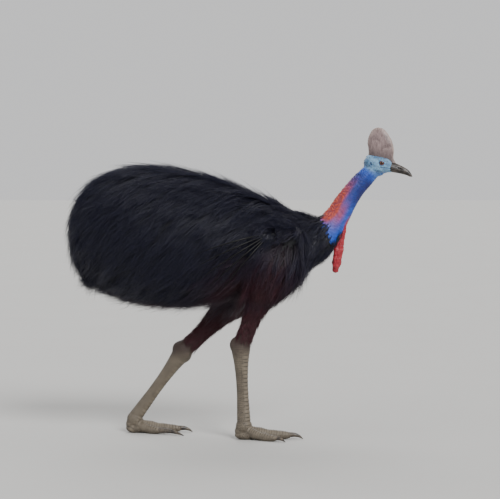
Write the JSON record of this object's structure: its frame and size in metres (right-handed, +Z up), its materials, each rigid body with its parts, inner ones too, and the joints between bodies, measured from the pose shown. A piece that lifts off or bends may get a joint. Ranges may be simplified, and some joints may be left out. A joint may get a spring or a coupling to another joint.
{
  "type": "southern cassowary model",
  "caption": "Life-size still model of a walking southern cassowary, with casque, bare neck, wattles, shaggy plumage and clawed feet.",
  "frame": {"origin": "on the floor under the middle of the whole bird, at the bottom centre of its box", "axes": "+X the way the bird faces, +Y its left side, +Z up"},
  "size_m": [1.3634, 0.503, 1.2368],
  "materials": {
    "coat": "coarse hair-like blue-black plumage with a soft sheen",
    "blue_skin": "bare wrinkled cobalt skin, red on the nape",
    "face_skin": "bare pale blue facial skin",
    "wattle_skin": "folded soft red skin",
    "casque_horn": "worn grey-brown horn",
    "bill_horn": "satin dark horn",
    "eye": "wet brown eye",
    "leg_scales": "grey-brown scutes and scales",
    "claw_horn": "dark worn claw horn",
    "quill_horn": "shiny black quills"
  },
  "bodies": {
    "root": {"torso": "coat", "rump": "coat", "neck_base": "coat", "neck": "blue_skin", "wattle_left": "wattle_skin", "wattle_right": "wattle_skin", "head": "face_skin", "casque": "casque_horn", "bill_upper": "bill_horn", "bill_lower": "bill_horn", "eye_left": "eye", "eye_right": "eye", "shin_left": "coat", "shin_right": "coat", "tarsus_left": "leg_scales", "tarsus_right": "leg_scales", "foot_left": "leg_scales", "foot_right": "leg_scales", "toe_inner_left": "leg_scales", "toe_middle_left": "leg_scales", "toe_outer_left": "leg_scales", "toe_inner_right": "leg_scales", "toe_middle_right": "leg_scales", "toe_outer_right": "leg_scales", "claw_inner_left": "claw_horn", "claw_middle_left": "claw_horn", "claw_outer_left": "claw_horn", "claw_inner_right": "claw_horn", "claw_middle_right": "claw_horn", "claw_outer_right": "claw_horn", "wing_left": "quill_horn", "wing_right": "quill_horn"}
  },
  "joints": []
}
